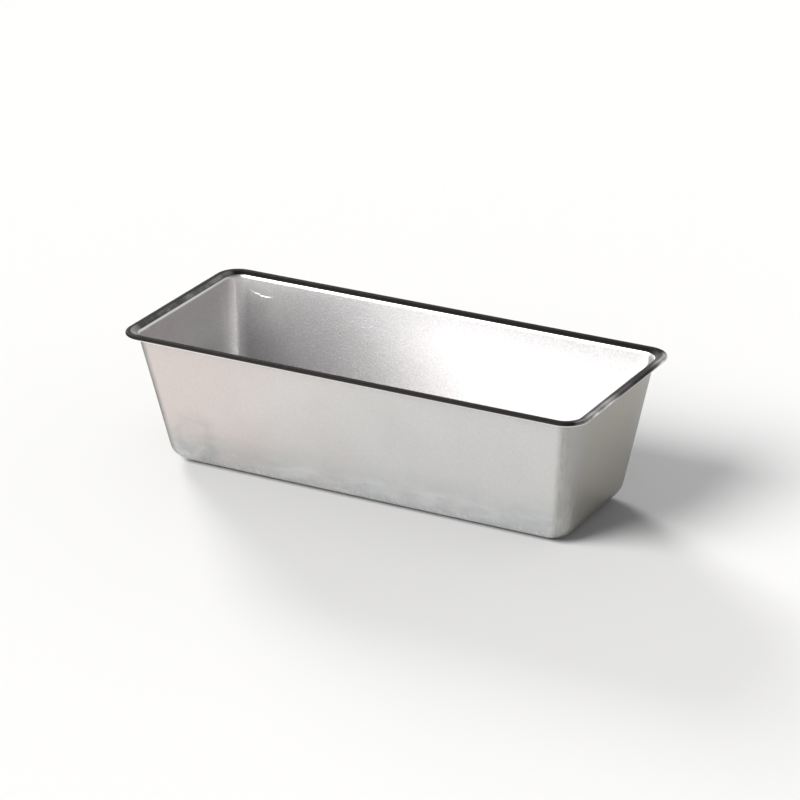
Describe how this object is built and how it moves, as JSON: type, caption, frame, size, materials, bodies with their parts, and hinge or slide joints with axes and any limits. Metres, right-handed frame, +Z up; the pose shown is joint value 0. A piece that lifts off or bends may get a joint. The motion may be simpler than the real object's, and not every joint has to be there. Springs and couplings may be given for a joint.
{
  "type": "rectangular cake pan",
  "caption": "Deep rectangular loaf cake pan of bright tinned sheet steel, with tapered walls, rounded corners and a narrow flat rim rolled over a stiffening wire.",
  "frame": {"origin": "middle of the underside of the base, on the surface that the pan stands on", "axes": "+X along the pan's length, +Y across its width towards the side away from the picture's camera, +Z up through the open top"},
  "size_m": [0.21, 0.091, 0.0603],
  "materials": {
    "tinned_sheet": "bright tinned sheet with a soft satin sheen and fine metallic grain",
    "rim_wire": "plain drawn wire"
  },
  "bodies": {
    "root": {"pan_shell": "tinned_sheet", "rim_wire": "rim_wire"}
  },
  "joints": []
}
